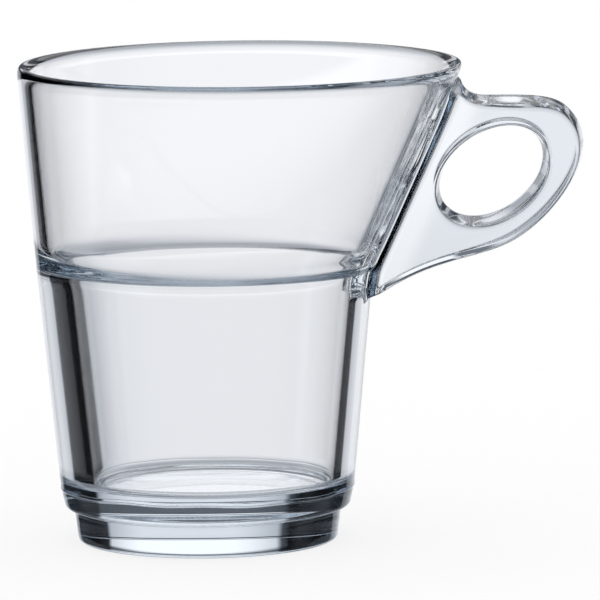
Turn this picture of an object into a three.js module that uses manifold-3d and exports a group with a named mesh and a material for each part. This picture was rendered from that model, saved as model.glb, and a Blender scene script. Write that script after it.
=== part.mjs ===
// A clear pressed-glass espresso mug, in millimetres, +Z up, with its handle towards +X.
// The lower half is a plain cone on a stepped foot. The upper half is wider inside by a ledge, and it leans
// towards the handle, so that the wall is straight on the far side and flares on the handle's side.
// The handle is a flat plate with drafted edges, a slanted oval finger hole and a root that fillets into
// the wall. The origin lies on the table under the middle of the whole mug, handle included.
import * as THREE from "three";
import { mergeVertices } from "three/addons/utils/BufferGeometryUtils.js";
import Module from "manifold-3d";

// Outside of the bowl
const HEIGHT = 67.5; // table to the top of the lip
const RIM_RADIUS = 31.5; // the wall's line carried up to the lip's top, before the lip is rounded
const RIM_LEAN = 5.3; // shift of the lip's centre towards the handle
const SHOULDER_HEIGHT = 38.3; // where the wall starts to flare
const SHOULDER_RADIUS = 23.7;
const SEAM_HEIGHT = 7.8; // where the wall's cone turns in to the heel
const SEAM_RADIUS = 20.75;
const HEEL_HEIGHT = 5; // underside of the step above the foot
const HEEL_RADIUS = 20.25;
const HEEL_ROUND = 1;
const FOOT_TOP_RADIUS = 19.1;
const FOOT_BASE_RADIUS = 18.4;
const FOOT_ROUND = 0.8;
const FOOT_NECK_ROUND = 0.3; // inner corner between foot and heel
const PUNT_RADIUS = 13.5; // shallow hollow in the underside
const PUNT_DEPTH = 0.6;

// Inside of the bowl
const UPPER_WALL = 1.85; // measured level, at the ledge
const LIP_WALL = 2.1; // measured level, at the lip
const LIP_CROWN = 0.1; // half of the flat that is left between the lip's two rounded edges
const LEDGE_RISE = 0.85; // shoulder to the ledge
const LEDGE_WIDTH = 2.1;
const LEDGE_CORNER_ROUND = 2.2; // where the upper wall meets the ledge
const LEDGE_EDGE_ROUND = 0.25; // where the ledge drops into the lower half
const LOWER_WALL = 3.85; // measured level, at the floor
const FLOOR_HEIGHT = 7.8;
const FLOOR_ROUND = 1.3;

// Handle
const PLATE_THICKNESS = 12;
const PLATE_LAND = 0.6; // flat at the parting line, between the two drafted edges
const EDGE_DRAFT = 1.1; // how far an edge falls back from the parting line to a face
const TOP_DROP = 4.85; // lip's top to the plate's flat top
const TOP_NECK_DROP = 2; // lip's top to where the plate's top runs into the lip
const TOP_NECK_REACH = 2.9; // length of that run, along X
const HOLE_LENGTH = 16; // at the parting line
const HOLE_WIDTH = 11;
const HOLE_TILT = THREE.MathUtils.degToRad(34.9); // rises away from the bowl
const HOLE_DROP = 15.55; // lip's top to the hole's centre
const HOLE_OFFSET = 10.6; // wall to the hole's centre, along X
const END_BAND = 6.1; // glass past the hole, along its long axis
const UNDER_BAND = 4.45; // glass under the hole, along its short axis
const ROOT_DROP = 17.6; // hole's centre to the lowest point of the root
const ROOT_ROUND = 3; // fillet between the plate's faces and the wall
const SEAT_GAP = 0.3; // clearance between the handle's solid and the bowl's

// Directions in which the handle's outline runs, as (X, Z), on its way round the end and back to the wall
const TOP_RUN = new THREE.Vector2(1, 0);
const END_RUN = new THREE.Vector2(0.63, -0.78);
const UNDER_RUN = new THREE.Vector2(-0.79, -0.61);
const ROOT_RUN = new THREE.Vector2(-0.83, -0.56);

// How far the outline keeps to a direction before it turns to the next one
const TOP_ROUND_START = 10; // flat top's end to the plate's end, along X
const TOP_HOLD = 7;
const END_HOLD_ABOVE = 2.5;
const END_HOLD_BELOW = 6.4;
const UNDER_HOLD_ABOVE = 6;
const UNDER_HOLD_BELOW = 8;
const ROOT_HOLD = 13.9;

const TURN_STEPS = 80; // facets round the bowl
const CORNER_STEPS = 2; // facets on each half of a rounded corner
const OUTLINE_STEPS = 18; // facets on each curve of the handle's outline
const DRAFT_STEPS = 3; // facets across each drafted edge
const GLASS_COLOUR = 0xe4e9ee;
const GLASS_ROUGHNESS = 0.04;
const GLASS_OPACITY = 0.35;

const wasm = await Module();
wasm.setup();

// Solids

// A closed geometry as a solid that can be joined and cut.
function solidOf(geometry) {
  const bare = geometry.clone();
  bare.deleteAttribute("normal");
  bare.deleteAttribute("uv");
  const merged = mergeVertices(bare, 1e-4);
  const mesh = new wasm.Mesh({
    numProp: 3,
    vertProperties: merged.attributes.position.array,
    triVerts: new Uint32Array(merged.index.array),
  });
  return new wasm.Manifold(mesh);
}

// A solid as a geometry with flat-shaded facets.
function geometryOf(solid) {
  const mesh = solid.getMesh();
  const geometry = new THREE.BufferGeometry();
  geometry.setAttribute("position", new THREE.BufferAttribute(mesh.vertProperties, 3));
  geometry.setIndex(new THREE.BufferAttribute(mesh.triVerts, 1));
  const flat = geometry.toNonIndexed();
  flat.computeVertexNormals();
  return flat;
}

// Profiles

// A corner of a profile: its place and the radius that rounds it.
function corner(x, y, round = 0) {
  return { at: new THREE.Vector2(x, y), round };
}

// Runs a path from its current point through the corners, each rounded by an arc, to the last one.
function throughCorners(path, corners) {
  corners.slice(1, -1).forEach(({ at, round }, index) => {
    if (round === 0) {
      path.lineTo(at.x, at.y);
      return;
    }
    const back = corners[index].at.clone().sub(at).normalize();
    const ahead = corners[index + 2].at.clone().sub(at).normalize();
    const half = Math.acos(back.dot(ahead)) / 2;
    const setback = round / Math.tan(half);
    const start = back.clone().multiplyScalar(setback).add(at);
    const end = ahead.clone().multiplyScalar(setback).add(at);
    const middle = back.clone().add(ahead).normalize().multiplyScalar(round / Math.sin(half)).add(at);
    const from = start.clone().sub(middle).angle();
    const to = end.clone().sub(middle).angle();
    path.lineTo(start.x, start.y);
    path.absarc(middle.x, middle.y, round, from, to, back.cross(ahead) > 0);
  });
  const last = corners.at(-1).at;
  path.lineTo(last.x, last.y);
}

// Share of the way from the shoulder up to the lip, 0 below the shoulder.
function flareShare(height) {
  return Math.max(0, (height - SHOULDER_HEIGHT) / (HEIGHT - SHOULDER_HEIGHT));
}

// Radius of the bowl's outside above the seam, before the lean.
function outerRadius(height) {
  if (height >= SHOULDER_HEIGHT) {
    return THREE.MathUtils.lerp(SHOULDER_RADIUS, RIM_RADIUS, flareShare(height));
  }
  const share = (height - SEAM_HEIGHT) / (SHOULDER_HEIGHT - SEAM_HEIGHT);
  return THREE.MathUtils.lerp(SEAM_RADIUS, SHOULDER_RADIUS, share);
}

// How far the wall reaches towards the handle at a height.
function wallReach(height) {
  return outerRadius(height) + RIM_LEAN * flareShare(height);
}

// Bowl

// Turns a profile round the Z axis, then leans everything above the shoulder towards the handle.
function turnAndLean(profile) {
  const geometry = new THREE.LatheGeometry(profile, TURN_STEPS);
  geometry.rotateX(Math.PI / 2);
  const position = geometry.attributes.position;
  for (let i = 0; i < position.count; i += 1) {
    position.setX(i, position.getX(i) + RIM_LEAN * flareShare(position.getZ(i)));
  }
  return geometry;
}

// The bowl's section: underside, outside, lip, inside, floor.
function bowlProfile() {
  const ledgeHeight = SHOULDER_HEIGHT + LEDGE_RISE;
  const ledgeOuter = outerRadius(ledgeHeight) - UPPER_WALL;
  const lipRound = LIP_WALL / 2 - LIP_CROWN;
  const path = new THREE.Path();
  path.moveTo(0, PUNT_DEPTH);
  path.quadraticCurveTo(PUNT_RADIUS / 2, PUNT_DEPTH, PUNT_RADIUS, 0);
  throughCorners(path, [
    corner(PUNT_RADIUS, 0),
    corner(FOOT_BASE_RADIUS, 0, FOOT_ROUND),
    corner(FOOT_TOP_RADIUS, HEEL_HEIGHT, FOOT_NECK_ROUND),
    corner(HEEL_RADIUS, HEEL_HEIGHT, HEEL_ROUND),
    corner(SEAM_RADIUS, SEAM_HEIGHT),
    corner(SHOULDER_RADIUS, SHOULDER_HEIGHT),
    corner(RIM_RADIUS, HEIGHT, lipRound),
    corner(RIM_RADIUS - LIP_WALL, HEIGHT, lipRound),
    corner(ledgeOuter, ledgeHeight, LEDGE_CORNER_ROUND),
    corner(ledgeOuter - LEDGE_WIDTH, ledgeHeight, LEDGE_EDGE_ROUND),
    corner(outerRadius(FLOOR_HEIGHT) - LOWER_WALL, FLOOR_HEIGHT, FLOOR_ROUND),
    corner(0, FLOOR_HEIGHT),
  ]);
  return path.getPoints(CORNER_STEPS);
}

// The space that the bowl fills as one solid, with the seat gap round it, for cutting the handle.
function bowlEnvelope() {
  const profile = [
    new THREE.Vector2(0, 0),
    new THREE.Vector2(SEAM_RADIUS + SEAT_GAP, 0),
    new THREE.Vector2(SEAM_RADIUS + SEAT_GAP, SEAM_HEIGHT),
    new THREE.Vector2(SHOULDER_RADIUS + SEAT_GAP, SHOULDER_HEIGHT),
    new THREE.Vector2(RIM_RADIUS + SEAT_GAP, HEIGHT),
    new THREE.Vector2(0, HEIGHT),
  ];
  return solidOf(turnAndLean(profile));
}

// Handle, drawn in a plane with x along X and y along Z

const holeHeight = HEIGHT - HOLE_DROP;
const holeCentre = new THREE.Vector2(wallReach(holeHeight) + HOLE_OFFSET, holeHeight);
const alongHole = new THREE.Vector2(Math.cos(HOLE_TILT), Math.sin(HOLE_TILT));
const acrossHole = new THREE.Vector2(Math.sin(HOLE_TILT), -Math.cos(HOLE_TILT));

// A point a distance from another along a direction.
function stepFrom(point, direction, distance) {
  return direction.clone().multiplyScalar(distance).add(point);
}

// The plate's outline at the parting line: a neck under the lip, a flat top, a round end past the hole, and
// an underside that sweeps down to the wall below the shoulder.
function plateOutline() {
  const topHeight = HEIGHT - TOP_DROP;
  const neckHeight = HEIGHT - TOP_NECK_DROP;
  const neckStart = new THREE.Vector2(wallReach(neckHeight) + SEAT_GAP, neckHeight);
  const topStart = new THREE.Vector2(wallReach(HEIGHT) + TOP_NECK_REACH, topHeight);
  const end = stepFrom(holeCentre, alongHole, HOLE_LENGTH / 2 + END_BAND);
  const under = stepFrom(holeCentre, acrossHole, HOLE_WIDTH / 2 + UNDER_BAND);
  const topEnd = new THREE.Vector2(end.x - TOP_ROUND_START, topHeight);
  const rootHeight = holeHeight - ROOT_DROP;
  const root = new THREE.Vector2(wallReach(rootHeight), rootHeight);

  const outline = new THREE.Shape();
  const curveTo = (from, out, outHold, into, inHold, to) => {
    const first = stepFrom(from, out, outHold);
    const second = stepFrom(to, into, -inHold);
    outline.bezierCurveTo(first.x, first.y, second.x, second.y, to.x, to.y);
  };
  outline.moveTo(0, root.y);
  outline.lineTo(0, neckStart.y);
  outline.lineTo(neckStart.x, neckStart.y);
  outline.quadraticCurveTo(neckStart.x + SEAT_GAP, topStart.y, topStart.x, topStart.y);
  outline.lineTo(topEnd.x, topEnd.y);
  curveTo(topEnd, TOP_RUN, TOP_HOLD, END_RUN, END_HOLD_ABOVE, end);
  curveTo(end, END_RUN, END_HOLD_BELOW, UNDER_RUN, UNDER_HOLD_ABOVE, under);
  curveTo(under, UNDER_RUN, UNDER_HOLD_BELOW, ROOT_RUN, ROOT_HOLD, root);
  outline.closePath();
  return outline;
}

// Stands a geometry that was drawn in the plane and extruded by a depth on the XZ plane, centred on Y.
function standUp(geometry, depth) {
  return geometry.translate(0, 0, -depth / 2).rotateX(Math.PI / 2);
}

// The plate, with both edges and the hole drafted from the parting line.
function plate() {
  const shape = plateOutline();
  const hole = new THREE.Path();
  hole.absellipse(
    holeCentre.x, holeCentre.y, HOLE_LENGTH / 2, HOLE_WIDTH / 2, 0, 2 * Math.PI, false, HOLE_TILT,
  );
  shape.holes.push(hole);
  const geometry = new THREE.ExtrudeGeometry(shape, {
    depth: PLATE_LAND,
    bevelThickness: (PLATE_THICKNESS - PLATE_LAND) / 2,
    bevelSize: EDGE_DRAFT,
    bevelOffset: -EDGE_DRAFT,
    bevelSegments: DRAFT_STEPS,
    curveSegments: OUTLINE_STEPS,
  });
  return solidOf(standUp(geometry, PLATE_LAND));
}

// The fillet between the plate's two faces and the wall: a level section with an arc in each corner, carried
// up along the slope of the wall, and trimmed to the plate's outline.
function rootFillet() {
  const half = PLATE_THICKNESS / 2;
  const wallRadius = outerRadius(holeHeight);
  const ballReach = wallRadius + ROOT_ROUND;
  const ballSide = half + ROOT_ROUND;
  const touch = Math.asin(ballSide / ballReach); // bearing of the arc's end on the wall
  const ballAhead = ballReach * Math.cos(touch) - wallRadius;
  const section = new THREE.Shape();
  section.moveTo(-wallRadius / 2, -half);
  section.lineTo(-wallRadius / 2, -ballSide);
  section.absarc(ballAhead, -ballSide, ROOT_ROUND, Math.PI - touch, Math.PI / 2, true);
  section.absarc(ballAhead, ballSide, ROOT_ROUND, -Math.PI / 2, touch - Math.PI, true);
  section.lineTo(-wallRadius / 2, ballSide);
  section.closePath();
  const column = new THREE.ExtrudeGeometry(section, {
    depth: HEIGHT,
    bevelEnabled: false,
    curveSegments: CORNER_STEPS,
  });
  const slope = (wallReach(HEIGHT) - wallReach(SHOULDER_HEIGHT)) / (HEIGHT - SHOULDER_HEIGHT);
  const lean = new THREE.Matrix4().makeShear(0, 0, 0, 0, slope, 0);
  column.applyMatrix4(lean).translate(SHOULDER_RADIUS - slope * SHOULDER_HEIGHT, 0, 0);
  const width = 2 * ballSide;
  const trim = new THREE.ExtrudeGeometry(plateOutline(), { depth: width, bevelEnabled: false });
  return solidOf(column).intersect(solidOf(standUp(trim, width)));
}

// Assembly

// One named mesh of clear glass.
function glassMesh(name, geometry) {
  const material = new THREE.MeshStandardMaterial({
    color: GLASS_COLOUR,
    roughness: GLASS_ROUGHNESS,
    metalness: 0,
    transparent: true,
    opacity: GLASS_OPACITY,
  });
  const mesh = new THREE.Mesh(geometry, material);
  mesh.name = name;
  return mesh;
}

const bowl = glassMesh("bowl", geometryOf(solidOf(turnAndLean(bowlProfile()))));
const handle = glassMesh("handle", geometryOf(plate().add(rootFillet()).subtract(bowlEnvelope())));

// The bowl stands on its own axis inside the mug, and the mug is centred on the origin.
const mug = new THREE.Group();
mug.add(bowl, handle);
const span = new THREE.Box3().setFromObject(mug);
mug.position.x = -(span.min.x + span.max.x) / 2;

const part = new THREE.Group();
part.add(mug);

export default part;
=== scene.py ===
"""A clear pressed-glass espresso mug in a bright studio.

The whole mug is one skin of glass, as on the real pressing: grids of points for the bowl, the handle, the
fillet of its root and the wall round that fillet share their edges and are welded into one closed surface.
Lengths are written in millimetres round the foot's axis and put into the frame, in metres, at the end.
"""
import logging
import math
from dataclasses import dataclass, field
from enum import Enum
from typing import Any, NamedTuple, Sequence, Union

import bmesh
import bpy
import numpy as np
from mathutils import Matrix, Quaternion, Vector


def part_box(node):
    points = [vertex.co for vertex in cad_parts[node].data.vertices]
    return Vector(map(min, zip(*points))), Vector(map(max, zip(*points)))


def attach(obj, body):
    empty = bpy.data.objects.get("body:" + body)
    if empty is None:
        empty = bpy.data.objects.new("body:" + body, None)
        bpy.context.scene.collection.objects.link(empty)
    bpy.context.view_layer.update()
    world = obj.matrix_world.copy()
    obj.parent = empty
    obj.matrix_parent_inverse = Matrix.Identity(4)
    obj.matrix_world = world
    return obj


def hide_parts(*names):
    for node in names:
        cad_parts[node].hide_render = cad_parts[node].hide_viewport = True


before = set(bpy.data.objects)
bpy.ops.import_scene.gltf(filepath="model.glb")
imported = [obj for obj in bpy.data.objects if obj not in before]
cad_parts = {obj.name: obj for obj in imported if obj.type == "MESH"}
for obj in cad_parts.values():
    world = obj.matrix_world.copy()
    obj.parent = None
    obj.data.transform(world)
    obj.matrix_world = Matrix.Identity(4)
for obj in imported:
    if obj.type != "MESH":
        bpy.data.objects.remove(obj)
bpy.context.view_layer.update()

BODY = "root"
MM = 0.001
WELD = 2e-7
SLOPE_STEP = 1e-3
LEAST_STEPS = 4
WHITE = (1.0, 1.0, 1.0, 1.0)
MIX_FIRST, MIX_SECOND, MIX_RESULT = 6, 7, 2

log = logging.getLogger("espresso_mug")

Array = np.ndarray
Number = Union[int, float]
Colour = tuple[float, float, float, float]


# Shader graphs


class Term:
    """A value socket that can be used in sums and products like a number."""

    def __init__(self, graph: "Graph", socket: bpy.types.NodeSocket) -> None:
        """Keeps the graph that new Math nodes go into, and the socket itself."""
        self.graph = graph
        self.socket = socket

    def math(self, operation: str, *others: Union["Term", Number]) -> "Term":
        """Adds one Math node.

        Args:
            operation: the Math node's operation.
            others: the values after this one, as terms or numbers.

        Returns:
            The node's result.
        """
        node = self.graph.node(
            "ShaderNodeMath", {"operation": operation}, dict(enumerate((self, *others)))
        )
        return Term(self.graph, node.outputs[0])

    def __add__(self, other: Union["Term", Number]) -> "Term":
        """This plus the other."""
        return self.math("ADD", other)

    __radd__ = __add__

    def __mul__(self, other: Union["Term", Number]) -> "Term":
        """This times the other."""
        return self.math("MULTIPLY", other)

    __rmul__ = __mul__

    def __sub__(self, other: Union["Term", Number]) -> "Term":
        """This minus the other."""
        return self.math("SUBTRACT", other)

    def __rsub__(self, other: Number) -> "Term":
        """A number minus this."""
        return self * -1.0 + other

    def step(self, low: float, high: float) -> "Term":
        """A smooth step that is 0 up to low and 1 from high on, or falls if low is the greater.

        Args:
            low: where the step starts.
            high: where it ends.

        Returns:
            The step, from 0 to 1.
        """
        node = self.graph.node(
            "ShaderNodeMapRange",
            {"interpolation_type": "SMOOTHSTEP"},
            {"Value": self, "From Min": min(low, high), "From Max": max(low, high)},
        )
        rise = Term(self.graph, node.outputs["Result"])
        return rise if low < high else 1.0 - rise


class Graph:
    """The node tree of a material or of the world."""

    def __init__(self, owner: Union[bpy.types.Material, bpy.types.World]) -> None:
        """Starts an empty tree in a material or world."""
        owner.use_nodes = True
        self.tree = owner.node_tree
        self.tree.nodes.clear()

    def node(
        self,
        kind: str,
        settings: dict[str, Any] | None = None,
        sockets: dict[Union[str, int], Any] | None = None,
    ) -> bpy.types.Node:
        """Adds a node of any kind.

        Args:
            kind: the node's type.
            settings: its properties, set first.
            sockets: a value, a term or a socket to link for each input.

        Returns:
            The node.
        """
        node = self.tree.nodes.new(kind)
        for name, value in (settings or {}).items():
            setattr(node, name, value)
        for name, value in (sockets or {}).items():
            source = value.socket if isinstance(value, Term) else value
            if isinstance(source, bpy.types.NodeSocket):
                self.tree.links.new(source, node.inputs[name])
            else:
                node.inputs[name].default_value = source
        return node

    def term(self, kind: str, output: str, *args: dict) -> Term:
        """A node's output as a term; the further arguments are the node's settings and sockets."""
        return Term(self, self.node(kind, *args).outputs[output])

    def blend(self, share: Term, first: Colour, second: Colour) -> bpy.types.NodeSocket:
        """A colour between two others.

        Args:
            share: how much of the second colour there is.
            first: the colour where the share is 0.
            second: the colour where it is 1.

        Returns:
            The colour's socket.
        """
        sockets = {"Factor": share, MIX_FIRST: first, MIX_SECOND: second}
        return self.node("ShaderNodeMix", {"data_type": "RGBA"}, sockets).outputs[MIX_RESULT]

    def separate(self, vector: bpy.types.NodeSocket) -> tuple[Term, Term, Term]:
        """The three parts of a vector, as terms."""
        node = self.node("ShaderNodeSeparateXYZ", {}, {0: vector})
        x, y, z = (Term(self, node.outputs[name]) for name in "XYZ")
        return x, y, z

    def finish(self, output: str, **shaders: bpy.types.NodeSocket) -> None:
        """Adds the output node, which takes the surface's shader and, where there is one, the volume's."""
        self.node(output, {}, shaders)


# Points and curves, in millimetres


def unit(vectors: Array) -> Array:
    """Vectors divided by their own length, along the last axis."""
    return vectors / np.linalg.norm(vectors, axis=-1, keepdims=True)


def eased(count: int) -> Array:
    """Numbers from 0 to 1 that lie closer at both ends: half of 1 minus the cosine of 0 to pi."""
    return (1.0 - np.cos(np.linspace(0.0, np.pi, count + 1))) / 2.0


def smooth(values: Array, low: float, high: float) -> Array:
    """A smooth step of values, 3 s^2 - 2 s^3 of their share s of the way from low to high."""
    share = np.clip((values - low) / (high - low), 0.0, 1.0)
    return share**2 * (3.0 - 2.0 * share)


def bezier(points: Sequence[Array], count: int) -> Array:
    """A Bezier curve by repeated straight blends between neighbouring control points.

    Args:
        points: the control points.
        count: how many steps the curve has.

    Returns:
        The curve's points, one row each.
    """
    share = np.linspace(0.0, 1.0, count + 1)[:, None]
    level = [np.broadcast_to(point, (count + 1, len(point))) for point in points]
    while len(level) > 1:
        level = [first + share * (second - first) for first, second in zip(level, level[1:])]
    return level[0]


def hermite(start: Array, leave: Array, end: Array, arrive: Array, count: int) -> Array:
    """Cubic rows between two rows of points, which leave and arrive along given directions.

    Args:
        start: first row of points.
        leave: how each column leaves it.
        end: last row of points.
        arrive: how each column arrives there.
        count: how many steps lie between the rows.

    Returns:
        A grid of points, row by row.
    """
    s = np.linspace(0.0, 1.0, count + 1)[:, None, None]
    return (
        (2 * s**3 - 3 * s**2 + 1) * start
        + (s**3 - 2 * s**2 + s) * leave
        + (3 * s**2 - 2 * s**3) * end
        + (s**3 - s**2) * arrive
    )


class Corner(NamedTuple):
    """A corner of the bowl's section: its radius and height, and the arc that rounds it."""

    r: float
    z: float
    round: float = 0.0


def fillet(before: Array, corner: Corner, after: Array, count: int) -> Array:
    """The arc that rounds a corner: its centre is on the bisector, at radius over sine of the half angle.

    Args:
        before: the point that the section comes from.
        corner: the corner with its radius.
        after: the point that the section goes to.
        count: how many steps the arc has.

    Returns:
        The arc's points.
    """
    at = np.array(corner[:2])
    back, ahead = unit(before - at), unit(after - at)
    half = math.acos(float(back @ ahead)) / 2.0
    centre = at + unit(back + ahead) * corner.round / math.sin(half)
    first = at + back * corner.round / math.tan(half) - centre
    last = at + ahead * corner.round / math.tan(half) - centre
    bearing = math.atan2(first[1], first[0])
    sweep = math.atan2(first[0] * last[1] - first[1] * last[0], float(first @ last))
    angle = bearing + sweep * np.linspace(0.0, 1.0, count + 1)
    return centre + corner.round * np.stack([np.cos(angle), np.sin(angle)], axis=-1)


def section(corners: Sequence[Corner], arc_steps: int, spacing: float) -> Array:
    """A section through corners: straight runs with eased points, and an arc at each rounded corner.

    Args:
        corners: the corners in order; the first and the last are its ends.
        arc_steps: how many steps each arc has.
        spacing: the mean distance of points on a straight run.

    Returns:
        The section's points, each as radius and height.
    """
    places = [np.array(corner[:2]) for corner in corners]
    pieces = [places[0][None, :]]
    for index, corner in enumerate(corners[1:], start=1):
        inner = corner.round > 0.0 and index + 1 < len(corners)
        arc = places[index][None, :]
        if inner:
            arc = fillet(places[index - 1], corner, places[index + 1], arc_steps)
        start = pieces[-1][-1]
        count = max(LEAST_STEPS, math.ceil(np.linalg.norm(arc[0] - start) / spacing))
        run = start + eased(count)[1:-1, None] * (arc[0] - start)
        pieces += [run, arc]
    return np.concatenate(pieces)


@dataclass
class Skin:
    """A closed surface, gathered from grids of points that share their edges."""

    points: list[Array] = field(default_factory=list)
    quads: list[Array] = field(default_factory=list)
    count: int = 0

    def add(self, grid: Array, closed: bool = False) -> None:
        """Adds a grid with one quad in each cell.

        Args:
            grid: points by row and column.
            closed: whether the last column joins the first.
        """
        rows, columns = grid.shape[:2]
        index = np.arange(rows * columns).reshape(rows, columns) + self.count
        if closed:
            index = np.concatenate([index, index[:, :1]], axis=1)
        cells = [index[:-1, :-1], index[:-1, 1:], index[1:, 1:], index[1:, :-1]]
        self.quads.append(np.stack(cells, axis=-1).reshape(-1, 4))
        self.points.append(grid.reshape(-1, 3))
        self.count += rows * columns

    def build(self, name: str, axis_x: float) -> bpy.types.Object:
        """Welds the grids into one smooth mesh whose faces point outwards.

        Args:
            name: the piece's name.
            axis_x: where the foot's axis stands in the frame, in millimetres along X.

        Returns:
            The new object, linked to the scene.
        """
        points = (np.concatenate(self.points) + (axis_x, 0.0, 0.0)) * MM
        mesh = bpy.data.meshes.new(name)
        mesh.from_pydata(points.tolist(), [], np.concatenate(self.quads).tolist())
        work = bmesh.new()
        work.from_mesh(mesh)
        bmesh.ops.remove_doubles(work, verts=work.verts, dist=WELD)
        bmesh.ops.recalc_face_normals(work, faces=work.faces)
        open_edges = sum(not edge.is_manifold for edge in work.edges)
        work.to_mesh(mesh)
        work.free()
        mesh.shade_smooth()
        log.info("%s: %d faces, %d open edges", name, len(mesh.polygons), open_edges)
        piece = bpy.data.objects.new(name, mesh)
        bpy.context.scene.collection.objects.link(piece)
        return piece


# The mug


@dataclass
class Bowl:
    """The vessel: a stepped foot, a lower cone, an inner ledge, and an upper half that leans and flares."""

    height: float = 67.5
    rim_radius: float = 31.5
    rim_lean: float = 5.3
    shoulder_height: float = 38.3
    shoulder_radius: float = 23.7
    shoulder_blend: float = 0.5
    seam_height: float = 7.8
    seam_radius: float = 20.75
    seam_reach: float = 0.09
    seam_width: float = 0.16
    seam_spread: float = 4.0
    seam_inset: float = 1.0
    seam_steps: int = 16
    long_wave: tuple[float, int, float] = (0.8, 3, 1.0)
    short_wave: tuple[float, int, float] = (0.5, 11, 0.0)
    heel_height: float = 4.75
    heel_radius: float = 20.1
    heel_round: float = 0.9
    foot_top_radius: float = 18.9
    foot_base_radius: float = 18.3
    foot_round: float = 0.8
    foot_neck_round: float = 0.3
    punt_radius: float = 16.4
    punt_depth: float = 0.5
    punt_step: float = 0.7
    punt_round: float = 0.3
    upper_wall: float = 1.85
    lip_crown: float = 0.7
    lip_outer_drop: float = 1.9
    lip_inner_reach: float = 1.4
    lip_inner_drop: float = 1.2
    lip_inner_hold: float = 0.66
    ledge_rise: float = 0.85
    ledge_width: float = 2.1
    ledge_corner_rise: float = 3.8
    ledge_corner_reach: float = 1.95
    ledge_edge_round: float = 0.25
    lower_wall: float = 3.85
    floor_height: float = 8.5
    floor_round: float = 1.3
    cavity_shift: float = 0.6
    cavity_blend: float = 2.0
    patch_bottom: float = 31.0
    turn_steps: int = 192
    patch_turns: int = 24
    patch_rises: int = 68
    arc_steps: int = 8
    spacing: float = 1.0

    def past_shoulder(self, z: Array) -> Array:
        """Height above the shoulder, or 0 below it, with a soft bend: half of h + root(h^2 + blend^2)."""
        h = np.asarray(z) - self.shoulder_height
        return (h + np.sqrt(h**2 + self.shoulder_blend**2)) / 2.0

    def lean(self, z: Array) -> Array:
        """How far the section at a height is shifted towards the handle."""
        return self.rim_lean / (self.height - self.shoulder_height) * self.past_shoulder(z)

    def outer_radius(self, z: Array) -> Array:
        """Radius of the outside: a cone's line, with other slopes past the shoulder and under the seam.

        Args:
            z: heights above the table.

        Returns:
            One radius for each height.
        """
        lower = (self.shoulder_radius - self.seam_radius) / (self.shoulder_height - self.seam_height)
        upper = (self.rim_radius - self.shoulder_radius) / (self.height - self.shoulder_height)
        heel = (self.seam_radius - self.heel_radius) / (self.seam_height - self.heel_height)
        above = np.asarray(z) - self.seam_height
        cone = self.seam_radius + lower * above
        return cone + (upper - lower) * self.past_shoulder(z) + (heel - lower) * np.minimum(above, 0.0)

    def wall_x(self, y: Array, z: Array) -> Array:
        """X of the outside on the handle's side: the lean, plus root(radius^2 - y^2)."""
        return self.lean(z) + np.sqrt(self.outer_radius(z) ** 2 - np.asarray(y) ** 2)

    def wall_point(self, turn: Array, z: Array) -> Array:
        """Points of the outside, (lean + r cos, r sin, z).

        Args:
            turn: bearings from +X.
            z: heights above the table.

        Returns:
            One point for each pair.
        """
        radius = self.outer_radius(z)
        return np.stack(
            [self.lean(z) + radius * np.cos(turn), radius * np.sin(turn), z * np.ones_like(turn)], axis=-1
        )

    def wall_normal(self, points: Array) -> Array:
        """Unit normals of the outside: the bearing's direction, less the slope at that bearing along Z.

        Args:
            points: points of the outside.

        Returns:
            One normal for each point.
        """
        x, y, z = np.moveaxis(points, -1, 0)
        bearing = unit(np.stack([x - self.lean(z), y], axis=-1))
        over, under = z + SLOPE_STEP, z - SLOPE_STEP
        flare = (self.outer_radius(over) - self.outer_radius(under)) / (2 * SLOPE_STEP)
        shift = (self.lean(over) - self.lean(under)) / (2 * SLOPE_STEP)
        slope = flare + shift * bearing[..., 0]
        return unit(np.concatenate([bearing, -slope[..., None]], axis=-1))

    @property
    def patch_turn(self) -> float:
        """Bearing of the side of the wall's patch round the handle's root."""
        return self.patch_turns / self.turn_steps * math.pi

    def lip(self) -> Array:
        """The lip's outer round, a parabola from the wall to the lip's crown.

        Returns:
            Its points, each as radius and height.
        """
        start = self.height - self.lip_outer_drop
        points = [
            np.array([float(self.outer_radius(start)), start]),
            np.array([self.rim_radius, self.height]),
            np.array([self.rim_radius - self.lip_crown, self.height]),
        ]
        return bezier(points, self.arc_steps)

    @property
    def patch_top(self) -> float:
        """Height at which the wall ends and the lip's arc starts."""
        return float(self.lip()[0, 1])

    def underside(self) -> Array:
        """The section from the middle of the punt round the foot and up the wall to the patch.

        Returns:
            Its points, each as radius and height.
        """
        bottom = self.patch_bottom
        steps = np.linspace(-1.0, 1.0, self.seam_steps + 1)
        seam = self.seam_height + steps * self.seam_spread * self.seam_width
        corners = [
            Corner(0.0, self.punt_depth),
            Corner(self.punt_radius - self.punt_step, self.punt_depth, self.punt_round),
            Corner(self.punt_radius, 0.0, self.punt_round),
            Corner(self.foot_base_radius, 0.0, self.foot_round),
            Corner(self.foot_top_radius, self.heel_height, self.foot_neck_round),
            Corner(self.heel_radius, self.heel_height, self.heel_round),
            Corner(float(self.outer_radius(seam[0])), float(seam[0])),
        ]
        foot = section(corners, self.arc_steps, self.spacing)
        band = np.stack([self.outer_radius(seam), seam], axis=-1)
        above = seam[-1] + eased(math.ceil((bottom - seam[-1]) / self.spacing))[1:] * (bottom - seam[-1])
        wall = np.stack([self.outer_radius(above), above], axis=-1)
        return np.concatenate([foot[:-1], band, wall])

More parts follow.
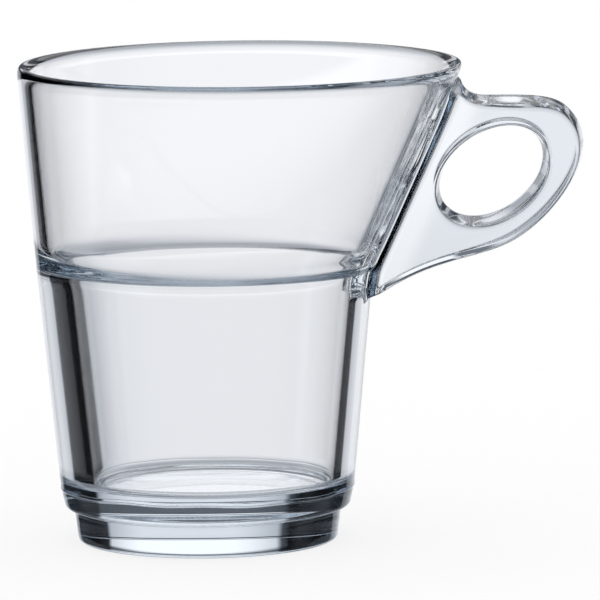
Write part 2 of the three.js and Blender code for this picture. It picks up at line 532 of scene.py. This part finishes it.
    def inside(self) -> Array:
        """The section from the wall's top over the lip, the ledge and the floor to the axis.

        The lip's inner round is a cubic from its crown down to the wall, and the ledge's corner a parabola.

        Returns:
            Its points, each as radius and height.
        """
        rise = self.height - self.shoulder_height
        slope = np.array([(self.rim_radius - self.shoulder_radius) / rise, 1.0])
        top = np.array([self.rim_radius - self.upper_wall, self.height])
        lip_end = top - slope * self.lip_inner_drop
        outer = self.lip()
        lip = bezier(
            [
                outer[-1],
                np.array([self.rim_radius - self.lip_inner_reach, self.height]),
                lip_end + slope * self.lip_inner_hold,
                lip_end,
            ],
            2 * self.arc_steps,
        )
        ledge_z = self.shoulder_height + self.ledge_rise
        ledge = top - slope * (self.height - ledge_z)
        ledge_end = ledge - (self.ledge_corner_reach, 0.0)
        corner = bezier([ledge + slope * self.ledge_corner_rise, ledge, ledge_end], 2 * self.arc_steps)
        floor_r = float(self.outer_radius(self.floor_height)) - self.lower_wall
        wall = section([Corner(*lip_end), Corner(*corner[0])], self.arc_steps, self.spacing)
        lower = section(
            [
                Corner(*ledge_end),
                Corner(ledge[0] - self.ledge_width, ledge_z, self.ledge_edge_round),
                Corner(floor_r, self.floor_height, self.floor_round),
                Corner(0.0, self.floor_height),
            ],
            self.arc_steps,
            self.spacing,
        )
        return np.concatenate([outer[:-1], lip[:-1], wall[:-1], corner[:-1], lower])

    def turned(self, profile: Array, turns: Array) -> Array:
        """A section turned round the axis, leant above the shoulder, with the mould's seam near the heel.

        A point is (lean + r cos, r sin, z). The seam adds a ridge to r on the outside, a bell curve of the
        height above a line that wanders round the foot as the sum of a long and a short sine wave.

        Args:
            profile: radius and height of each row.
            turns: bearing of each column.

        Returns:
            A grid of points.
        """
        r, z = profile[:, :1], profile[:, 1:]
        waves = (self.long_wave, self.short_wave)
        wander = sum(size * np.sin(count * turns + start) for size, count, start in waves)
        line = self.seam_height + self.seam_width * wander
        outside = r > float(self.outer_radius(self.seam_height)) - self.seam_inset
        ridge = self.seam_reach * np.exp(-(((z - line) / self.seam_width) ** 2)) * outside
        reach = r + ridge
        return np.stack(
            [self.lean(z) + reach * np.cos(turns), reach * np.sin(turns), z * np.ones_like(turns)], axis=-1
        )

    def cavity(self, turns: Array) -> Array:
        """The inside, turned: below the ledge it stands a little nearer the handle than the outside.

        Args:
            turns: bearing of each column.

        Returns:
            A grid of points.
        """
        grid = self.turned(self.inside(), turns)
        ledge = self.shoulder_height + self.ledge_rise
        depth = ledge + self.cavity_blend - grid[..., 2]
        grid[..., 0] += self.cavity_shift * smooth(depth, 0.0, self.cavity_blend)
        return grid

    def add_to(self, skin: Skin) -> None:
        """Adds the bowl's grids to the skin, with the patch round the handle's root left open.

        Args:
            skin: the skin that the grids go into.
        """
        round_turns = np.arange(self.turn_steps) * 2.0 * math.pi / self.turn_steps
        rises = np.linspace(self.patch_bottom, self.patch_top, self.patch_rises + 1)
        wall = np.stack([self.outer_radius(rises), rises], axis=-1)
        edge = self.patch_turns // 2
        open_turns = round_turns[edge : self.turn_steps - edge + 1]
        skin.add(self.turned(self.underside(), round_turns), closed=True)
        skin.add(self.turned(wall, open_turns))
        skin.add(self.cavity(round_turns), closed=True)


class Half(Enum):
    """The two halves of the handle, on either side of its parting line."""

    FRONT = -1.0
    BACK = 1.0


@dataclass
class Handle:
    """The flat ring plate: drafted edges, a slanted oval finger hole and a filleted root on the wall."""

    bowl: Bowl
    thickness: float = 12.0
    edge_draft: float = 0.65
    edge_round: float = 0.5
    edge_crest: float = 0.8
    thumb_draft: float = 0.32
    thumb_reach: float = 45.0
    thumb_spread: float = 6.5
    thumb_rise: float = 6.0
    root_draft: float = 0.12
    root_fade: tuple[float, float] = (33.0, 47.0)
    hole_draft: float = 0.72
    hole_shift: tuple[float, float] = (0.15, -0.25)
    top_drop: float = 4.85
    neck_drop: float = 2.0
    neck_reach: float = 2.9
    neck_gap: float = 0.3
    hole_length: float = 16.0
    hole_width: float = 11.0
    hole_tilt: float = math.radians(34.9)
    hole_drop: float = 15.55
    hole_offset: float = 10.6
    end_band: float = 6.1
    under_band: float = 4.45
    root_drop: float = 17.6
    top_round_start: float = 10.0
    top_hold: float = 7.0
    end_run: tuple[float, float] = (0.63, -0.78)
    end_hold_above: float = 2.5
    end_hold_below: float = 6.4
    under_run: tuple[float, float] = (-0.79, -0.61)
    under_hold_above: float = 6.0
    under_hold_below: float = 8.0
    root_run: tuple[float, float] = (-0.83, -0.56)
    root_hold: float = 13.9
    face_gap: float = 2.2
    neck_end_gap: float = 0.8
    root_end_gap: float = 1.1
    side_fillet: float = 3.0
    neck_fillet: float = 0.9
    under_fillet: float = 1.2
    end_spread: float = 15.0
    root_pull: float = 1.15
    run_steps: int = 160
    crest_steps: int = 3
    flank_steps: int = 3
    arc_steps: int = 5
    outline_steps: int = 150
    face_steps: int = 10
    blend_steps: int = 10
    patch_steps: int = 10

    @property
    def half(self) -> float:
        """Half of the plate's thickness."""
        return self.thickness / 2.0

    @property
    def centre(self) -> Array:
        """The finger hole's centre, as X and Z."""
        z = self.bowl.height - self.hole_drop
        return np.array([float(self.bowl.wall_x(0.0, z)) + self.hole_offset, z])

    @property
    def along(self) -> Array:
        """Direction of the hole's long axis."""
        return np.array([math.cos(self.hole_tilt), math.sin(self.hole_tilt)])

    @property
    def across(self) -> Array:
        """Direction of the hole's short axis, downwards."""
        return np.array([math.sin(self.hole_tilt), -math.cos(self.hole_tilt)])

    def outline(self) -> Array:
        """The outline at the parting line: neck, flat top, round end, and underside down to the wall.

        Returns:
            Points as X and Z, close together, from the neck to the root.
        """
        bowl, centre = self.bowl, self.centre
        top_z, neck_z = bowl.height - self.top_drop, bowl.height - self.neck_drop
        neck = np.array([float(bowl.wall_x(0.0, neck_z)) + self.neck_gap, neck_z])
        top_start = np.array([bowl.rim_radius + bowl.rim_lean + self.neck_reach, top_z])
        end = centre + self.along * (self.hole_length / 2.0 + self.end_band)
        under = centre + self.across * (self.hole_width / 2.0 + self.under_band)
        top_end = np.array([end[0] - self.top_round_start, top_z])
        root_z = centre[1] - self.root_drop
        root = np.array([float(bowl.wall_x(0.0, root_z)), root_z])
        end_run, under_run, root_run = map(np.array, (self.end_run, self.under_run, self.root_run))
        runs = [
            [neck, np.array([neck[0] + self.neck_gap, top_z]), top_start],
            [top_start, top_end],
            [top_end, top_end + (self.top_hold, 0.0), end - end_run * self.end_hold_above, end],
            [end, end + end_run * self.end_hold_below, under - under_run * self.under_hold_above, under],
            [under, under + under_run * self.under_hold_below, root - root_run * self.root_hold, root],
        ]
        return np.concatenate([bezier(run, self.run_steps)[1:] for run in runs])

    def draft(self, line: Array) -> Array:
        """How far the edge falls back from the parting line at each point of the outline.

        A bell curve adds to it on the top, where the thumb rests, and along the underside it fades on a
        smooth step towards the root.

        Args:
            line: the outline's points.

        Returns:
            One length for each point.
        """
        x, z = line.T
        rise = z - self.centre[1]
        thumb = self.thumb_draft * np.exp(-(((x - self.thumb_reach) / self.thumb_spread) ** 2))
        under = self.root_draft + (self.edge_draft - self.root_draft) * smooth(x, *self.root_fade)
        return np.where(rise > 0.0, self.edge_draft, under) + thumb * smooth(rise, 0.0, self.thumb_rise)

    def edge_section(self, draft: float) -> tuple[Array, Array]:
        """A drafted edge's own section, from the parting line to a face.

        It leaves the parting line on a parabola, fall = slope * y^2 / (2 * crest), runs straight with that
        slope, and turns into the face on a small arc.

        Args:
            draft: how far the edge falls back in all.

        Returns:
            Points as fall from the outline and distance from the parting line, and unit normals there.
        """
        slope = draft / (self.half - self.edge_crest / 2.0)
        y = np.linspace(0.0, self.edge_crest, self.crest_steps + 1)
        crest = np.stack([slope * y**2 / (2.0 * self.edge_crest), y], axis=-1)
        corner = Corner(draft, self.half, self.edge_round)
        arc = fillet(crest[-1], corner, np.array([draft + self.half, self.half]), self.arc_steps)
        share = np.linspace(0.0, 1.0, self.flank_steps + 1)[1:-1, None]
        points = np.concatenate([crest, crest[-1] + share * (arc[0] - crest[-1]), arc])
        run = unit(np.gradient(points, axis=0))
        normals = np.stack([run[:, 1], run[:, 0]], axis=-1)
        normals[0], normals[-1] = (1.0, 0.0), (0.0, 1.0)
        return points, normals

    def edge(self) -> tuple[Array, Array]:
        """The drafted edge between the parting line and one face, cut at a distance from the wall.

        Returns:
            Points by section step and outline step, and the outward normals there.
        """
        line = self.outline()
        length = np.concatenate([[0.0], np.cumsum(np.linalg.norm(np.diff(line, axis=0), axis=1))])
        run = unit(np.gradient(line, length, axis=0))
        out = np.stack([-run[:, 1], run[:, 0]], axis=-1)
        more = self.draft(line) / self.edge_draft
        near = self.run_steps
        rows, normals = [], []
        for (fall, y), (normal_out, normal_y) in zip(*self.edge_section(self.edge_draft)):
            share = y / self.half
            flat = line - out * (fall * more)[:, None]
            gap = flat[:, 0] - self.bowl.wall_x(y, flat[:, 1])
            neck_gap = self.neck_end_gap + (self.face_gap - self.neck_end_gap) * share
            root_gap = self.root_end_gap + (self.face_gap - self.root_end_gap) * share
            first = np.interp(neck_gap, gap[:near], length[:near])
            last = np.interp(root_gap, gap[: -near - 1 : -1], length[: -near - 1 : -1])
            at = np.linspace(first, last, self.outline_steps + 1)
            x, z, out_x, out_z = (np.interp(at, length, column) for column in (*flat.T, *out.T))
            rows.append(np.stack([x, np.full_like(x, y), z], axis=-1))
            over = np.full_like(x, normal_y)
            normals.append(np.stack([out_x * normal_out, over, out_z * normal_out], axis=-1))
        return np.array(rows), unit(np.array(normals))

    def cut(self, start: Array, end: Array) -> Array:
        """The line on a face where the root's fillet starts, at a fixed distance from the wall.

        It has as many steps as make the loop round the plate match the edge of the wall's patch.

        Args:
            start: its upper end on the face.
            end: its lower end.

        Returns:
            Its points, with both ends.
        """
        bowl = self.bowl
        rows = self.crest_steps + self.flank_steps + self.arc_steps + 1
        steps = bowl.patch_rises + 2 * (bowl.patch_turns // 2) + 2 - 2 * rows
        z = np.linspace(start[2], end[2], steps + 1)
        x = bowl.wall_x(self.half, z) + self.face_gap
        points = np.stack([x, np.full_like(z, self.half), z], axis=-1)
        points[0], points[-1] = start, end
        return points

    def hole(self, loop: Array) -> Array:
        """The finger hole's wall, drafted like the outer edge, one column for each point of a loop.

        A column stands at the ellipse's own angle of that point as seen from the centre. Towards the face
        the ellipse widens by the draft and moves by the shift.

        Args:
            loop: the points on the face that the columns lead to.

        Returns:
            A grid of points from the parting line to the face.
        """
        offset = loop[:, ::2] - self.centre
        a, b = self.hole_length / 2.0, self.hole_width / 2.0
        turn = np.arctan2(offset @ self.across / b, offset @ self.along / a)
        cos, sin = np.cos(turn)[:, None], np.sin(turn)[:, None]
        ring = self.centre + a * cos * self.along + b * sin * self.across
        out = unit(b * cos * self.along + a * sin * self.across)
        fall, y = self.edge_section(self.hole_draft)[0].T
        flat = ring + out * fall[:, None, None] + (fall / fall[-1])[:, None, None] * self.hole_shift
        y = np.broadcast_to(y[:, None], flat.shape[:2])
        return np.stack([flat[..., 0], y, flat[..., 1]], axis=-1)

    def root_loop(self, edge: Array, normals: Array, cut: Array) -> tuple[Array, Array]:
        """The closed loop round the plate where the root's fillet starts, and the plate's normals along it.

        Args:
            edge: the drafted edge's points.
            normals: its normals.
            cut: the line on the face.

        Returns:
            The loop's points and normals, from the neck down the back and up the front.
        """
        face = np.broadcast_to((0.0, 1.0, 0.0), cut[1:-1].shape)
        back = np.concatenate([edge[:, 0], cut[1:-1], edge[::-1, -1]])
        out = np.concatenate([normals[:, 0], face, normals[::-1, -1]])
        mirror = np.array([1.0, -1.0, 1.0])
        return np.concatenate([back, back[-2:0:-1] * mirror]), np.concatenate([out, out[-2:0:-1] * mirror])

    @staticmethod
    def sideways(points: Array, normals: Array, centre: Array, outward: bool) -> Array:
        """Directions in the surface, square to a closed curve.

        Args:
            points: the curve's points.
            normals: the surface's normals there.
            centre: a point inside the curve.
            outward: whether each direction is turned away from the centre.

        Returns:
            Unit vectors.
        """
        run = np.roll(points, -1, axis=0) - np.roll(points, 1, axis=0)
        side = unit(np.cross(normals, run))
        if outward:
            side *= np.sign(np.sum(side * (points - centre), axis=-1, keepdims=True))
        return side

    def add_root(self, skin: Skin, loop: Array, normals: Array) -> None:
        """Adds the root's fillet and the wall's patch round it.

        Each column of the fillet is a cubic that leaves the plate along its own surface and arrives along
        the wall. The patch blends, in bearing and height, from the fillet's edge to a window in the wall.

        Args:
            skin: the skin that the grids go into.
            loop: the loop round the plate.
            normals: the plate's normals there.
        """
        bowl = self.bowl
        count = len(loop) // 2
        foot = np.stack([bowl.wall_x(loop[:, 1], loop[:, 2]), loop[:, 1], loop[:, 2]], axis=-1)
        middle = foot.mean(axis=0)
        away = self.sideways(foot, bowl.wall_normal(foot), middle, True)
        near = np.minimum(np.arange(2 * count), 2 * count - np.arange(2 * count))
        spread = self.end_spread
        neck = np.exp(-((near / spread) ** 2))
        under = np.exp(-(((count - near) / spread) ** 2))
        reach = self.side_fillet + (self.neck_fillet - self.side_fillet) * neck
        reach = reach + (self.under_fillet - self.side_fillet) * under
        moved = foot + away * reach[:, None]
        rim = np.stack([bowl.wall_x(moved[:, 1], moved[:, 2]), moved[:, 1], moved[:, 2]], axis=-1)
        arrive = self.sideways(rim, bowl.wall_normal(rim), middle, True)
        leave = self.sideways(loop, normals, middle, False)
        leave *= np.sign(np.sum(leave * (rim - loop), axis=-1, keepdims=True))
        pull = self.root_pull * np.linalg.norm(rim - loop, axis=-1, keepdims=True)
        skin.add(hermite(loop, leave * pull, rim, arrive * pull, self.blend_steps), closed=True)

        side, low, high = bowl.patch_turn, bowl.patch_bottom, bowl.patch_top
        half_turns = bowl.patch_turns // 2
        over = np.linspace(0.0, side, half_turns + 1)
        rises = np.linspace(low, high, bowl.patch_rises + 1)[::-1]
        turn = np.concatenate([over, np.full(bowl.patch_rises, side), over[-2::-1]])
        rise = np.concatenate([np.full(half_turns, high), rises, np.full(half_turns, low)])
        turn = np.concatenate([turn, -turn[-2:0:-1]])
        rise = np.concatenate([rise, rise[-2:0:-1]])
        rim_turn = np.arctan2(rim[:, 1], rim[:, 0] - bowl.lean(rim[:, 2]))
        share = np.linspace(0.0, 1.0, self.patch_steps + 1)[:, None]
        turns = rim_turn + share * (turn - rim_turn)
        heights = rim[:, 2] + share * (rise - rim[:, 2])
        skin.add(bowl.wall_point(turns, heights), closed=True)

    def add_to(self, skin: Skin) -> None:
        """Adds the handle's grids to the skin: both halves of the plate, then the root.

        Args:
            skin: the skin that the grids go into.
        """
        edge, normals = self.edge()
        cut = self.cut(edge[-1, 0], edge[-1, -1])
        loop = np.concatenate([edge[-1], cut[-2:0:-1]])
        hole = self.hole(loop)
        face = hole[-1] + eased(self.face_steps)[:, None, None] * (loop - hole[-1])
        for half in Half:
            mirror = np.array([1.0, half.value, 1.0])
            skin.add(edge * mirror)
            skin.add(hole * mirror, closed=True)
            skin.add(face * mirror, closed=True)
        self.add_root(skin, *self.root_loop(edge, normals, cut))


@dataclass(frozen=True)
class ClearGlass:
    """Fire-polished pressed glass: faintly uneven, blue-grey where it is thick, with painted shade in the
    plate.

    The plate's painted shade, a greyer base colour, starts past a line along the sloping wall, x - slope * z,
    and above the root. Its edges are in metres, as the frame's coordinates are.
    """

    ior: float = 1.5
    tint: Colour = WHITE
    plate_painted_shade: Colour = (0.86, 0.873, 0.888, 1.0)
    plate_slope: float = 0.437
    plate_edge: tuple[float, float] = (-0.0034, -0.0004)
    plate_rise: tuple[float, float] = (0.0335, 0.0355)
    depth_colour: Colour = (0.78, 0.86, 0.93, 1.0)
    depth_density: float = 20.0
    wave_scale: float = 70.0
    wave_detail: float = 1.0
    wave_height: float = 0.00035
    wave_strength: float = 0.02
    smear_scale: float = 160.0
    smear_detail: float = 4.0
    smear_range: tuple[float, float] = (0.45, 0.8)
    smear_roughness: float = 0.012

    @staticmethod
    def noise(graph: Graph, place: bpy.types.NodeSocket, scale: float, detail: float) -> Term:
        """A smooth noise over the piece.

        Args:
            graph: the graph that it goes into.
            place: the coordinates that it reads.
            scale: how fine it is.
            detail: how many finer layers it has.

        Returns:
            Its value, about 0.5 on average.
        """
        sockets = {"Vector": place, "Scale": scale, "Detail": detail}
        return graph.term("ShaderNodeTexNoise", "Fac", {}, sockets)

    def build(self) -> bpy.types.Material:
        """Makes the material.

        Returns:
            A Principled glass with a faint wave in its normal, faint smears, absorption by depth and painted
            shade in the plate.
        """
        material = bpy.data.materials.new("clear_glass")
        graph = Graph(material)
        place = graph.node("ShaderNodeTexCoord").outputs["Object"]
        wave = self.noise(graph, place, self.wave_scale, self.wave_detail)
        bump = graph.node(
            "ShaderNodeBump",
            {},
            {"Height": wave, "Strength": self.wave_strength, "Distance": self.wave_height},
        )
        smear = self.noise(graph, place, self.smear_scale, self.smear_detail)
        x, _, z = graph.separate(place)
        # painted shade: past this line and above the root the base colour turns greyer, darkening the
        # handle's plate
        plate = (x - z * self.plate_slope).step(*self.plate_edge) * z.step(*self.plate_rise)
        glass = graph.node(
            "ShaderNodeBsdfPrincipled",
            {},
            {
                "Base Color": graph.blend(plate, self.tint, self.plate_painted_shade),
                "Roughness": smear.step(*self.smear_range) * self.smear_roughness,
                "IOR": self.ior,
                "Transmission Weight": 1.0,
                "Normal": bump.outputs["Normal"],
            },
        )
        depth = graph.node(
            "ShaderNodeVolumeAbsorption",
            {},
            {"Color": self.depth_colour, "Density": self.depth_density},
        )
        graph.finish(
            "ShaderNodeOutputMaterial", Surface=glass.outputs["BSDF"], Volume=depth.outputs["Volume"]
        )
        return material


@dataclass
class Mug:
    """The whole mug, bowl and handle in one skin of glass."""

    bowl: Bowl
    handle: Handle
    finish: ClearGlass = ClearGlass()

    def axis_x(self) -> float:
        """Where the foot's axis stands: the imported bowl's middle along X, less the middle of its own reach.

        Returns:
            The place along the frame's X, in millimetres.
        """
        turns = np.array([0.0, math.pi])
        reach = self.bowl.turned(self.bowl.inside(), turns)[..., 0]
        low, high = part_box("bowl")
        return (low[0] + high[0]) / 2.0 / MM - (reach.min() + reach.max()) / 2.0

    def build(self) -> bpy.types.Object:
        """Builds the glass, dresses it and puts it in the place of both solids.

        Returns:
            The mug's one piece.
        """
        skin = Skin()
        self.bowl.add_to(skin)
        self.handle.add_to(skin)
        glass = skin.build("mug_glass", self.axis_x())
        glass.data.materials.append(self.finish.build())
        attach(glass, BODY)
        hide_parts("bowl", "handle")
        return glass


# The studio


def sine(degrees: float) -> float:
    """The sine of an angle in degrees."""
    return math.sin(math.radians(degrees))


@dataclass
class Viewpoint:
    """The camera: a long lens from in front and a little above, in millimetres round the frame's origin."""

    eye: tuple[float, float, float] = (-0.36, -1150.0, 190.18)
    aim: tuple[float, float, float] = (-0.36, 0.0, 33.82)
    lens: float = 493.77
    sensor: float = 36.0
    roll: float = math.radians(-0.64)
    far: float = 100.0

    def build(self) -> bpy.types.Object:
        """Makes the camera and gives it to the scene.

        Returns:
            The camera.
        """
        data = bpy.data.cameras.new("view")
        data.lens = self.lens
        data.sensor_width = self.sensor
        data.clip_end = self.far
        camera = bpy.data.objects.new("view", data)
        eye, aim = Vector(self.eye) * MM, Vector(self.aim) * MM
        camera.location = eye
        camera.rotation_mode = "QUATERNION"
        level = (aim - eye).to_track_quat("-Z", "Y")
        camera.rotation_quaternion = level @ Quaternion((0.0, 0.0, 1.0), self.roll)
        bpy.context.scene.collection.objects.link(camera)
        bpy.context.scene.camera = camera
        return camera


class Band(NamedTuple):
    """A change of the tent's light with elevation: between two angles it turns into a new level."""

    start: float
    end: float
    light: float


@dataclass
class Studio:
    """A white floor, and a light tent that hangs on the camera: white behind, dark cards at the sides.

    Behind the mug the tent is lit in bands: a white field that fades downwards, a gap, a panel, a dim
    stretch, a ceiling light and a dark top. In front it is dark at eye level and lighter above. Angles are
    in degrees, across and up from the camera's line of sight, and sizes in metres.
    """

    floor_size: float = 60.0
    floor_drop: float = 0.00005
    floor_white: float = 0.9
    floor_glow: float = 0.8
    world_light: float = 1.1
    glass_bounces: int = 20
    tent_radius: float = 20.0
    tent_rows: int = 32
    tent_columns: int = 64
    bright_colour: Colour = (0.965, 0.975, 1.0, 1.0)
    dim_colour: Colour = (0.78, 0.86, 1.0, 1.0)
    left_card: float = -25.5
    left_strip: float = -22.5
    strip_light: float = 0.1
    right_card: float = 34.0
    shade_light: float = 0.55
    shade_left: float = -17.5
    shade_right: float = 29.0
    shade_softness: float = 12.0
    card_softness: float = 1.5
    card_low: float = -16.0
    card_high: float = 20.0
    card_blend: float = 3.0
    card_reach: float = 79.0
    card_light: float = 0.006
    below_light: float = 0.5
    bands: tuple[Band, ...] = (
        Band(-28.0, 0.0, 0.98),
        Band(0.0, 1.1, 1.08),
        Band(1.38, 1.5, 0.98),
        Band(2.0, 6.0, 0.9),
        Band(8.1, 9.1, 0.14),
        Band(13.8, 15.4, 1.25),
        Band(17.6, 19.0, 0.25),
        Band(24.0, 28.0, 1.15),
        Band(43.0, 50.0, 0.12),
    )
    front_blend: float = 0.1
    front_light: float = 0.03
    front_bands: tuple[Band, ...] = (
        Band(4.0, 12.0, 0.5),
        Band(28.0, 38.0, 1.0),
    )

    def sheet(self, name: str, size: float, height: float) -> bpy.types.Object:
        """A square level sheet centred on the origin.

        Args:
            name: its name.
            size: its side, in metres.
            height: its place along Z.

        Returns:
            The new object.
        """
        corners = np.array([[-1, -1, 0], [1, -1, 0], [1, 1, 0], [-1, 1, 0]]) * size / 2.0
        mesh = bpy.data.meshes.new(name)
        mesh.from_pydata((corners + (0.0, 0.0, height)).tolist(), [], [(0, 1, 2, 3)])
        sheet = bpy.data.objects.new(name, mesh)
        bpy.context.scene.collection.objects.link(sheet)
        return sheet

    def floor(self) -> bpy.types.Object:
        """The floor: matt white that takes the mug's shadow, with a glow of strength 1 for the camera.

        Returns:
            The floor.
        """
        floor = self.sheet("floor", self.floor_size, -self.floor_drop)
        material = bpy.data.materials.new("white_floor")
        graph = Graph(material)
        white = (self.floor_white,) * 3 + (1.0,)
        matt = graph.node("ShaderNodeBsdfDiffuse", {}, {"Color": white})
        glow = graph.node("ShaderNodeEmission", {}, {"Color": WHITE, "Strength": 1.0})
        seen = graph.term("ShaderNodeLightPath", "Is Camera Ray")
        mix = graph.node(
            "ShaderNodeMixShader",
            {},
            {0: seen * self.floor_glow, 1: matt.outputs["BSDF"], 2: glow.outputs["Emission"]},
        )
        graph.finish("ShaderNodeOutputMaterial", Surface=mix.outputs["Shader"])
        floor.data.materials.append(material)
        floor.visible_glossy = False
        floor.visible_transmission = False
        return floor

    @staticmethod
    def between(part: Term, low: float, high: float, softness: float) -> Term:
        """Where a direction's part lies between two angles.

        Args:
            part: the sine of the angle.
            low: the lower angle, in degrees.
            high: the higher angle.
            softness: half the width of each edge's blend.

        Returns:
            1 between the angles and 0 beyond them.
        """
        rise = part.step(sine(low - softness), sine(low + softness))
        return rise * part.step(sine(high + softness), sine(high - softness))

    @staticmethod
    def banded(up: Term, light: float, bands: Sequence[Band]) -> Term:
        """A light that changes with elevation, as a sum of smooth steps.

        Args:
            up: the sine of the elevation.
            light: the level below the first band.
            bands: the changes, from the lowest up.

        Returns:
            The level.
        """
        before = (light, *(band.light for band in bands))
        return sum(
            (
                up.step(sine(band.start), sine(band.end)) * (band.light - level)
                for band, level in zip(bands, before)
            ),
            light,
        )

    def tent(self, camera: bpy.types.Object) -> bpy.types.Object:
        """The tent: a sphere that only reflections and refractions see.

        A point of the sphere is (sin a cos b, cos a, sin a sin b) times its radius.

        Args:
            camera: the camera that it hangs on.

        Returns:
            The tent.
        """
        rows = np.linspace(0.0, math.pi, self.tent_rows + 1)[:, None]
        columns = np.linspace(0.0, 2.0 * math.pi, self.tent_columns, endpoint=False)
        ring, height = np.sin(rows), np.cos(rows) * np.ones_like(columns)
        ball = np.stack([ring * np.cos(columns), height, ring * np.sin(columns)], axis=-1)
        skin = Skin()
        skin.add(ball * self.tent_radius / MM, closed=True)
        tent = skin.build("light_tent", 0.0)
        tent.data.materials.append(self.tent_light())
        tent.parent = camera
        tent.visible_camera = False
        tent.visible_diffuse = False
        tent.visible_shadow = False
        tent.visible_volume_scatter = False
        return tent

    def tent_light(self) -> bpy.types.Material:
        """The tent's light, by direction: bands and cards behind the mug, other bands in front.

        Returns:
            A material that shines, bluer where it is dim.
        """
        material = bpy.data.materials.new("light_tent")
        graph = Graph(material)
        place = graph.node("ShaderNodeTexCoord").outputs["Object"]
        way = graph.node("ShaderNodeVectorMath", {"operation": "NORMALIZE"}, {0: place})
        across, up, front = graph.separate(way.outputs["Vector"])
        shade = self.between(across, self.shade_left, self.shade_right, self.shade_softness)
        white = self.banded(up, self.below_light, self.bands)
        white = white * (shade * (1.0 - self.shade_light) + self.shade_light)
        strip = self.between(across, self.left_card, self.right_card, self.card_softness)
        clear = self.between(across, self.left_strip, self.right_card, self.card_softness)
        card = 1.0 - (strip * self.strip_light + clear * (1.0 - self.strip_light))
        card = card * self.between(up, self.card_low, self.card_high, self.card_blend)
        card = card * self.between(across, -self.card_reach, self.card_reach, self.card_blend)
        behind = white - card * (white - self.card_light)
        ahead = self.banded(up, self.front_light, self.front_bands)
        level = front.step(-self.front_blend, self.front_blend) * (ahead - behind) + behind
        tone = graph.blend(level, self.dim_colour, self.bright_colour)
        colour = graph.node("ShaderNodeVectorMath", {"operation": "SCALE"}, {0: tone, "Scale": level})
        light = graph.node("ShaderNodeEmission", {}, {"Color": colour.outputs["Vector"], "Strength": 1.0})
        graph.finish("ShaderNodeOutputMaterial", Surface=light.outputs["Emission"])
        return material

    def world(self) -> None:
        """The soft light from all round, which the camera sees as plain white."""
        world = bpy.data.worlds.new("soft_light")
        graph = Graph(world)
        seen = graph.term("ShaderNodeLightPath", "Is Camera Ray")
        strength = seen * (1.0 - self.world_light) + self.world_light
        light = graph.node("ShaderNodeBackground", {}, {"Color": WHITE, "Strength": strength})
        graph.finish("ShaderNodeOutputWorld", Surface=light.outputs["Background"])
        bpy.context.scene.world = world

    def build(self, camera: bpy.types.Object) -> None:
        """Makes the floor, the tent and the world's light.

        Args:
            camera: the camera that the tent hangs on.
        """
        self.floor()
        self.tent(camera)
        self.world()
        scene = bpy.context.scene
        scene.cycles.glossy_bounces = self.glass_bounces
        scene.cycles.transmission_bounces = self.glass_bounces
        scene.cycles.max_bounces = self.glass_bounces
        scene.view_settings.view_transform = "Standard"


def main() -> None:
    """Builds the camera, the mug and the studio, and reports them."""
    logging.basicConfig(level=logging.INFO)
    camera = Viewpoint().build()
    bowl = Bowl()
    glass = Mug(bowl, Handle(bowl)).build()
    log.info("piece %s stands for bowl and handle", glass.name)
    Studio().build(camera)


if __name__ == "__main__":
    main()
